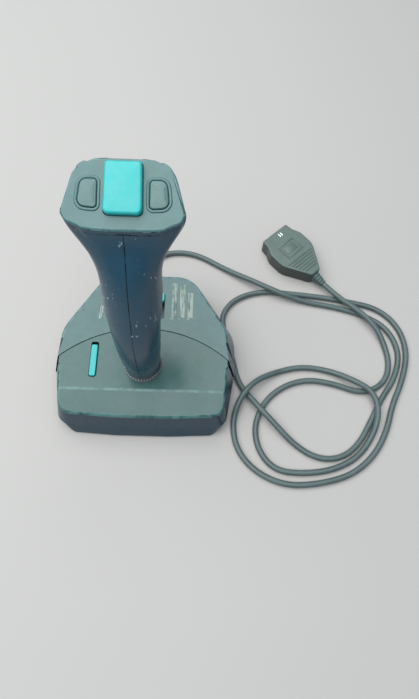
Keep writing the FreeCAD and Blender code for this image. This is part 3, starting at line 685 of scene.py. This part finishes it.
# ---- operators ------------------------------------------------------------------------------
class FLIGHT_OT_stage(bpy.types.Operator):
    """Floor, light and camera"""
    bl_idname = "flight.stage"
    bl_label = "Stage"

    def execute(self, context):
        settings = context.scene.flight_stage
        context.scene.view_settings.view_transform = "Standard"

        floor = Finish("Floor", 0.9)
        tone = floor.noise(0.4, 2.0)
        base = tuple(settings.floor)
        floor.paint(floor.mix(floor.between(tone, 0.2, 0.8), base, tuple(c * 0.985 for c in base)))
        bpy.ops.mesh.primitive_plane_add(size=8.0)
        ground = context.object
        ground.name = "Floor"
        ground.data.materials.append(floor.material)

        world = bpy.data.worlds.new("Sky")
        world.use_nodes = True
        background = world.node_tree.nodes["Background"]
        background.inputs["Color"].default_value = (0.55, 0.80, 1.0, 1.0)
        background.inputs["Strength"].default_value = settings.sky
        context.scene.world = world

        light = bpy.data.lights.new("Softbox", "AREA")
        light.shape = "RECTANGLE"
        light.size = 2.0
        light.size_y = 2.0
        light.energy = settings.softbox
        light.color = (0.95, 1.0, 0.97)
        softbox = bpy.data.objects.new("Softbox", light)
        softbox.location = (-0.55, 0.15, 1.25)
        context.scene.collection.objects.link(softbox)

        pitch, yaw, roll = (math.radians(angle) for angle in (68.1, 2.67, 4.17))
        ahead = Vector((math.sin(yaw) * math.cos(pitch), math.cos(yaw) * math.cos(pitch),
                        -math.sin(pitch)))
        level_right = Vector((math.cos(yaw), -math.sin(yaw), 0))
        level_up = level_right.cross(ahead)
        right = math.cos(roll) * level_right + math.sin(roll) * level_up
        up = math.cos(roll) * level_up - math.sin(roll) * level_right
        data = bpy.data.cameras.new("Camera")
        data.lens = 27.85
        data.sensor_width = 36.0
        data.clip_start = 0.01
        camera = bpy.data.objects.new("Camera", data)
        camera.matrix_world = Matrix((right, up, -ahead)).transposed().to_4x4()
        camera.location = (0.0408, -0.1504, 0.4012)
        context.scene.collection.objects.link(camera)
        context.scene.camera = camera
        return {"FINISHED"}


class FLIGHT_OT_lead(bpy.types.Operator):
    """Lead, its relief at the base and the plug at its end"""
    bl_idname = "flight.lead"
    bl_label = "Lead and plug"

    def execute(self, context):
        settings = context.scene.flight_lead
        jacket = tuple(settings.jacket)
        worn = tuple(min(1.0, channel * 1.7) for channel in jacket)
        FINISHES["jacket"] = soft_rubber("Lead jacket", jacket, worn, 0.42)

        curve = bpy.data.curves.new("lead", "CURVE")
        curve.dimensions = "3D"
        spline = curve.splines.new("NURBS")
        spline.points.add(len(ROUTE) - 1)
        for point, place in zip(spline.points, ROUTE):
            point.co = (*(value * MM for value in place), 1.0)
        spline.order_u = 3
        spline.use_endpoint_u = True
        spline.resolution_u = 10
        curve.bevel_depth = settings.diameter / 2
        curve.bevel_resolution = 5
        curve.use_fill_caps = True
        curve.materials.append(FINISHES["jacket"])
        lead = bpy.data.objects.new("lead", curve)
        context.scene.collection.objects.link(lead)
        install(lead, "cord_jacket", "base", "cord")

        relief = self.base_relief()
        pieces = [relief, *self.plug(settings)]
        return {"FINISHED"}

    def base_relief(self):
        """Ribbed, tapered relief where the lead leaves the back wall."""
        low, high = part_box("cord_gland")
        start = low.y / MM
        wall = start + 7.6
        end = high.y / MM
        bore = 2.24
        profile = [(bore, start), (3.55, start), (3.55, start + 1.5), (2.9, start + 1.5),
                   (2.9, wall)]
        rings = 3
        step = (end - wall) / rings
        for k in range(rings):
            radius = 2.86 - 0.11 * k
            at = wall + step * k
            profile += [(radius, at + 0.2), (radius, at + step * 0.62),
                        (radius - 0.28, at + step * 0.7), (radius - 0.28, at + step * 0.96)]
        profile += [(bore + 0.12, end), (bore, end)]
        middle = (low + high) / 2 / MM

        def place(x, y, height):
            return on_base(middle.x + x, height, middle.z + y)

        piece = lathe("lead_relief", profile, place, FINISHES["jacket"], 40)
        return install(piece, "cord_jacket", "base", "cord_gland")

    def plug(self, settings):
        plug_colour = tuple(settings.plug)
        # Painted shade and sheen: the plug's sides are darkened to 0.42 of its colour, and faces
        # that look up keep the full colour.
        dark = tuple(channel * 0.42 for channel in plug_colour)
        plastic = moulded("Plug plastic", dark, plug_colour, 0.0, 0.6, 0.40, 0.5)
        FINISHES["plug"] = plastic
        body = softened("plug_body", "plug_moulding", plastic,
                        ((anywhere, 0.35 * MM, 2, 50, True),))
        install(body, "plug_plastic", "base", "plug_body")

        top = PLUG_TOP - 0.25
        frame_x, frame_y0, frame_y1, bar = 8.6, 33.5, 47.0, 1.3
        slabs = [(-frame_x, frame_x, frame_y0, frame_y0 + bar, top, PLUG_TOP + 0.45),
                 (-frame_x, frame_x, frame_y1 - bar, frame_y1, top, PLUG_TOP + 0.45),
                 (-frame_x, bar - frame_x, frame_y0 + bar, frame_y1 - bar, top, PLUG_TOP + 0.45),
                 (frame_x - bar, frame_x, frame_y0 + bar, frame_y1 - bar, top, PLUG_TOP + 0.45),
                 (3.0 - frame_x, frame_x - 3.0, frame_y0 + 3.2, frame_y1 - 3.2,
                  top, PLUG_TOP + 0.25)]
        badge = install(plates("plug_frame", slabs, on_plug, 0.2 * MM, plastic),
                        "plug_plastic", "base")

        slits = [(x, x + 1.0, 53.4, 57.0, top, PLUG_TOP + 0.08) for x in (1.0, 3.2)]
        metal = bright_metal("Shroud plate", (0.80, 0.80, 0.79), 0.25)
        FINISHES["plate"] = metal
        slit = install(plates("plug_slits", slits, on_plug, 0.05 * MM, metal),
                       "shroud_metal", "base")

        step = on_plug(0, 2.55, 0) - on_plug(0, 0, 0)
        start = on_plug(0, PLUG_TAIL + 6.2, PLUG_TOP - 0.12)
        across = on_plug(1, 0, 0) - on_plug(0, 0, 0)
        ribs = rib_row_tree().made("plug_ribs", {
            "Count": settings.ribs, "Step": tuple(step), "Start": tuple(start),
            "Turn": math.atan2(across.y, across.x), "Radius": 0.62 * MM,
            "First length": 11.5 * MM, "Growth": 2.9 * MM, "Material": plastic})
        smooth(ribs.data, 40.0)
        install(ribs, "plug_plastic", "base")

        profile = [(0.6, 0.2)]
        rings = 4
        for k in range(rings):
            radius = 3.0 + 0.42 * k
            at = 0.3 + 2.4 * k
            profile += [(radius - 0.55, at), (radius, at + 0.35), (radius + 0.05, at + 1.35),
                        (radius - 0.55, at + 1.7)]
        profile += [(4.2, PLUG_TAIL + 0.4), (0.6, PLUG_TAIL + 0.4)]

        def place(x, y, height):
            return on_plug(x, height, y)

        tail = lathe("plug_tail", profile, place, FINISHES["jacket"], 48)
        install(tail, "cord_jacket", "base", "plug_relief")

        dress("plug_shroud", metal)
        # Painted sheen: the insert is lighter on faces that look up.
        dress("plug_insert", moulded("Plug insert", (0.02, 0.02, 0.022), (0.05, 0.05, 0.05)))
        dress("plug_sockets", bright_metal("Contact plate", (0.80, 0.62, 0.32), 0.25))
        return [body, badge, slit, ribs, tail,
                *(NODES[name] for name in ("plug_shroud", "plug_insert", "plug_sockets"))]


class FLIGHT_OT_casing(bpy.types.Operator):
    """Tray, front deck, rear cover, feet and screws"""
    bl_idname = "flight.casing"
    bl_label = "Base casing"

    def execute(self, context):
        settings = context.scene.flight_casing
        clean = tuple(settings.clean)
        # Deck, cover and tray: painted sheen lightens the faces that look up.
        dust_and_sheen = tuple(settings.dust_and_sheen)
        deck = moulded("Deck plastic", clean, dust_and_sheen, 0.30, 0.80, 0.22, 0.75)
        cover = moulded("Cover plastic", clean, tuple(settings.cover_sheen), 0.30, 0.80, 0.26, 0.75)
        tray = moulded("Tray plastic", clean, dust_and_sheen, 0.5, 0.9, 0.34, 0.35)

        def on_seam(point, reach=0.4 * MM):
            return abs((point.xy - SEAM_CENTRE).length - SEAM_RADIUS) < reach

        def in_opening(point):
            near_stick = (point.xy - PIVOT.xy).length < 12 * MM
            near_slot = any(low.x - 3 * MM < point.x < high.x + 3 * MM
                            and low.y - 18 * MM < point.y < high.y + 6 * MM
                            for low, high in map(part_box, ("auto_fire_slider", "mode_slider")))
            return near_stick or near_slot

        def on_ridge(point, facing):
            return abs(point.y - RIDGE_Y) < 0.5 * MM and facing.z > 0.9

        def on_rim(point, facing):
            return (facing.z > 0.25 and facing.xy.dot(point.xy) > 0 and point.z > 17 * MM
                    and not on_seam(point, 6 * MM) and not in_opening(point))

        def on_detail(point, facing):
            return facing.z > 0.25 and point.z > 17 * MM and (on_seam(point) or in_opening(point))

        for node, name, material in (("front_deck", "front_deck_shell", deck),
                                     ("rear_cover", "rear_cover_shell", cover)):
            piece = softened(node, name, material,
                             ((on_ridge, 1.0 * MM, 3, 12, True),
                              (on_rim, settings.rim, 4, 30, False),
                              (on_detail, settings.seam, 2, 30, True)))
            install(piece, "deck_plastic", "base", node)
        piece = softened("base_tray", "base_tray_shell", tray,
                         ((anywhere, 0.4 * MM, 2, 35, True),))
        install(piece, "dark_shell", "base", "base_tray")

        dress("base_screws", bright_metal("Zinc screw", (0.60, 0.60, 0.58), 0.32))
        rubber = soft_rubber("Foot rubber", (0.02, 0.021, 0.022), (0.07, 0.07, 0.07), 0.7)
        feet = softened("rubber_feet", "foot_pads", rubber, ((anywhere, 0.4 * MM, 3, 50, True),))
        install(feet, "foot_rubber", "base", "rubber_feet")
        return {"FINISHED"}


class FLIGHT_OT_deck_parts(bpy.types.Operator):
    """Sliders and the worn printed bars on the deck"""
    bl_idname = "flight.deck_parts"
    bl_label = "Sliders and print"

    def execute(self, context):
        teal = teal_plastic("Teal plastic", tuple(context.scene.flight_buttons.teal))
        FINISHES["teal"] = teal
        for node, body in (("auto_fire_slider", "auto_fire_knob"), ("mode_slider", "mode_knob")):
            piece = softened(node, node + "_cap", teal, ((on_top_side, 0.5 * MM, 3, 50, False),))
            install(piece, "teal_plastic", body, node)
        # The print's ground is the rear cover's painted sheen colour.
        ink = worn_print("Worn print", (0.30, 0.33, 0.29), (0.05, 0.11, 0.11))
        top = COVER_TOP / MM
        skin = 0.05
        bars = []
        for x, end in ((20.2, 51.0), (26.4, 50.0), (32.6, 43.0)):
            bars.append((x - 1.9, x + 1.9, 22.0, end, top - 0.2, top + skin))
            bars.append((x - 2.5, x - 0.4, 20.4, 21.4, top - 0.2, top + skin))
        bars.append((-35.5, -31.5, 19.5, 30.0, top - 0.2, top + skin))
        install(plates("printed_bars", bars, on_base, 0.02 * MM, ink), "deck_plastic", "base")
        return {"FINISHED"}


class FLIGHT_OT_boot(bpy.types.Operator):
    """Rubber boot between deck and grip, in two folds"""
    bl_idname = "flight.boot"
    bl_label = "Boot"

    def execute(self, context):
        rubber = soft_rubber("Boot rubber", (0.018, 0.024, 0.030), (0.11, 0.13, 0.14), 0.4)
        ribs_metal = soft_rubber("Rib wear", (0.05, 0.06, 0.07), (0.42, 0.45, 0.45), 0.35, 0.8)
        centre = PIVOT / MM

        def place(x, y, height):
            return on_base(centre.x + x, centre.y + y, height)

        deck = DECK_TOP / MM
        waist = deck + 2.3
        top = deck + 4.6
        folds = (("boot_lower", "base", "gimbal", deck, waist, 13.0, 12.2),
                 ("boot_upper", "gimbal", "stick", waist, top, 12.2, 10.9))
        for name, first, second, z0, z1, wide, narrow in folds:
            rise = (z1 - z0) / 2
            profile = [(wide - 2.6, z0), (wide, z0)]
            for k in range(2):
                radius = wide + (narrow - wide) * (k + 1) / 2
                at = z0 + rise * k
                profile += [(radius + 0.9, at + rise * 0.25), (radius + 1.0, at + rise * 0.55),
                            (radius - 0.3, at + rise * 0.82), (radius - 0.2, at + rise)]
            profile.append((narrow - 2.6, z1))
            piece = lathe(name, profile, place, rubber, 96)
            place(0, 0, z0)
            place(0, 0, z1)
            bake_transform(piece)
            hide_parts("pivot_boot")

        ribs = rib_ring_tree().made("boot_ribs", {
            "Count": 40, "Radius": 12.5 * MM, "Centre": tuple(place(0, 0, top - 0.55)),
            "Rib": (2.0 * MM, 0.55 * MM, 0.9 * MM), "Lean": math.radians(20),
            "Material": ribs_metal})
        install(ribs, "foot_rubber", "stick")
        collar = [(10.0, top - 0.9), (12.7, top - 0.9), (12.9, top - 0.6), (12.9, top - 0.2),
                  (12.5, top + 0.25), (10.0, top + 0.25)]
        install(lathe("boot_collar", collar, place, rubber, 96), "foot_rubber", "stick")
        return {"FINISHED"}


class FLIGHT_OT_grip(bpy.types.Operator):
    """Grip halves, head panel and trigger"""
    bl_idname = "flight.grip"
    bl_label = "Grip and trigger"

    def execute(self, context):
        settings = context.scene.flight_grip
        body = tuple(settings.body)
        # Painted sheen: the grip turns lighter where its faces look up.
        dust_and_sheen = tuple(channel * 1.9 for channel in body)
        plastic = moulded("Grip plastic", body, dust_and_sheen, 0.45, 1.0, 0.27, 1.0, 0.8,
                          edges=(0.001, 0.002, 0.003))
        seam = context.scene.flight_casing.seam

        low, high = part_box("grip_left")

        def outside(point, facing):
            rise = (point.z - low.z) / (high.z - low.z)
            spine = PIVOT.y + rise * (HEAD_MIDDLE.y - PIVOT.y)
            to_side = abs(facing.x) > 0.5 and facing.x * point.x > 0
            return to_side or facing.y * (point.y - spine) > 0

        for node in ("grip_left", "grip_right"):
            piece = softened(node, node + "_shell", plastic, ((outside, seam, 2, 38, False),))
            install(piece, "grip_plastic", "stick", node)
        dress("grip_screws", bright_metal("Grip screw", (0.55, 0.55, 0.54), 0.35))

        # Painted sheen: the head panel is lightened to its grey-green where it faces up.
        panel_sheen = tuple(settings.panel)
        panel = moulded("Panel plastic", body, panel_sheen, 0.05, 0.75, 0.27, 0.3)
        FINISHES["panel"] = panel

        def on_top(point, _facing):
            return OUT.dot(point) > PANEL_TOP - 0.2 * MM

        def outer_rim(point, facing):
            v = ALONG.dot(point - HEAD_MIDDLE)
            return on_top(point, facing) and (abs(point.x) > 24.1 * MM
                                              or not -14.0 * MM < v < 15.2 * MM)

        piece = softened("head_panel", "head_panel_shell", panel,
                         ((outer_rim, settings.panel_edge, 6, 30, False),
                          (on_top, 0.3 * MM, 2, 30, True)))
        install(piece, "panel_plastic", "stick", "head_panel")

        # Painted sheen: the trigger's grey is lighter on the faces that look up.
        grey = moulded("Trigger plastic", (0.16, 0.19, 0.20), (0.26, 0.30, 0.31),
                       0.0, 0.6, 0.36, 0.6)

        def in_front(_point, facing):
            return facing.y < -0.25

        piece = softened("trigger", "trigger_lever", grey, ((in_front, 0.45 * MM, 3, 40, False),))
        install(piece, "trigger_plastic", "trigger_lever", "trigger")
        dress("trigger_pin", bright_metal("Pin steel", (0.62, 0.62, 0.63), 0.25))
        return {"FINISHED"}


class FLIGHT_OT_buttons(bpy.types.Operator):
    """Fire button, the two side keys and the beads round them"""
    bl_idname = "flight.buttons"
    bl_label = "Buttons"

    def execute(self, context):
        settings = context.scene.flight_buttons
        low = -4.3
        skirt = -1.2
        narrow = FIRE_HALF - 0.6
        outline = rounded_outline(((-FIRE_HALF, FIRE_FRONT, 3.0), (FIRE_HALF, FIRE_FRONT, 3.0),
                                   (narrow, FIRE_BACK, 2.0), (-narrow, FIRE_BACK, 2.0)), 8)
        piece = cap("fire_button_cap", outline, on_head, skirt, FIRE_TOP, 1.5,
                    settings.crown / MM, FINISHES["teal"])
        install(piece, "teal_plastic", "fire_key", "fire_button")

        # Painted sheen and shade: the side keys keep their full colour where they face up and are
        # darkened to 0.6 of it on their sides.
        key = moulded("Key plastic", tuple(c * 0.6 for c in settings.key), tuple(settings.key),
                      0.2, 0.8, 0.20, 0.3)
        for name, sign in (("right", 1), ("left", -1)):
            inner = KEY_X - 4.9
            corners = [(inner, KEY_V - 7.4, 2.0), (KEY_X + 5.4, KEY_V - 6.6, 4.0),
                       (KEY_X + 3.6, KEY_V + 7.4, 4.0), (inner, KEY_V + 7.4, 2.0)]
            if sign < 0:
                corners = [(-x, v, radius) for x, v, radius in reversed(corners)]
            outline = rounded_outline(corners, 8)
            piece = cap("side_key_" + name, outline, on_head, low, 0.9, 0.9, 0.7, key)
            install(piece, "key_plastic", name + "_key", "side_button_" + name)
            bead = ((0.2, -0.4), (0.2, 0.15), (0.75, 0.5), (1.3, 0.5), (1.75, 0.1), (1.75, -0.4))
            rim = raised_rim("key_bead_" + name, outline, on_head, bead, FINISHES["panel"])
            install(rim, "panel_plastic", "stick")
        return {"FINISHED"}


class FLIGHT_OT_inner_works(bpy.types.Operator):
    """Finishes of what is inside: shaft, gimbal, springs, boards and switches"""
    bl_idname = "flight.inner_works"
    bl_label = "Inner works"

    def execute(self, context):
        steel = bright_metal("Turned steel", (0.62, 0.62, 0.63), 0.28)
        wire = bright_metal("Spring wire", (0.52, 0.53, 0.55), 0.22)
        brass = bright_metal("Contact leaf", (0.80, 0.64, 0.34), 0.25)
        # Painted sheen: both inner plastics are lighter on faces that look up.
        black = moulded("Inner plastic", (0.02, 0.02, 0.022), (0.05, 0.05, 0.052), roughness=0.45)
        grey = moulded("Switch plastic", (0.04, 0.04, 0.043), (0.08, 0.08, 0.08), roughness=0.4)
        dome = soft_rubber("Dome rubber", (0.20, 0.21, 0.22), (0.30, 0.31, 0.31), 0.5)
        board = laminate("Board laminate")
        for material, nodes in (
                (steel, ("stick_shaft",)),
                (wire, ("centring_spring", "trigger_spring")),
                (brass, ("direction_contacts",)),
                (black, ("pivot_housing", "gimbal_ring")),
                (grey, ("slide_switches", "trigger_switch")),
                (dome, ("fire_dome", "side_dome_right", "side_dome_left")),
                (board, ("base_board", "head_board"))):
            for node in nodes:
                dress(node, material)
        return {"FINISHED"}


OPERATORS = (FLIGHT_OT_stage, FLIGHT_OT_lead, FLIGHT_OT_casing, FLIGHT_OT_deck_parts,
             FLIGHT_OT_boot, FLIGHT_OT_grip, FLIGHT_OT_buttons, FLIGHT_OT_inner_works)


class FLIGHT_PT_panel(bpy.types.Panel):
    """Lists the steps that dress the flight stick"""
    bl_idname = "FLIGHT_PT_panel"
    bl_label = "Flight stick"
    bl_space_type = "VIEW_3D"
    bl_region_type = "UI"
    bl_category = "Flight stick"

    def draw(self, context):
        for operator in OPERATORS:
            self.layout.operator(operator.bl_idname)
        for name in SETTINGS:
            group = getattr(context.scene, name)
            for key in group.bl_rna.properties.keys():
                if key not in ("rna_type", "name"):
                    self.layout.prop(group, key)


SETTINGS = {"flight_stage": StageSettings, "flight_lead": LeadSettings,
            "flight_casing": CasingSettings, "flight_grip": GripSettings,
            "flight_buttons": ButtonSettings}


def register():
    for group in SETTINGS.values():
        bpy.utils.register_class(group)
    for name, group in SETTINGS.items():
        setattr(bpy.types.Scene, name, PointerProperty(type=group))
    for operator in OPERATORS:
        bpy.utils.register_class(operator)
    bpy.utils.register_class(FLIGHT_PT_panel)


def unregister():
    bpy.utils.unregister_class(FLIGHT_PT_panel)
    for operator in reversed(OPERATORS):
        bpy.utils.unregister_class(operator)
    for name, group in SETTINGS.items():
        delattr(bpy.types.Scene, name)
        bpy.utils.unregister_class(group)


def main():
    register()
    bpy.ops.flight.stage()
    bpy.ops.flight.lead()
    bpy.ops.flight.casing()
    bpy.ops.flight.deck_parts()
    bpy.ops.flight.boot()
    bpy.ops.flight.grip()
    bpy.ops.flight.buttons()
    bpy.ops.flight.inner_works()


if __name__ == "__main__":
    main()
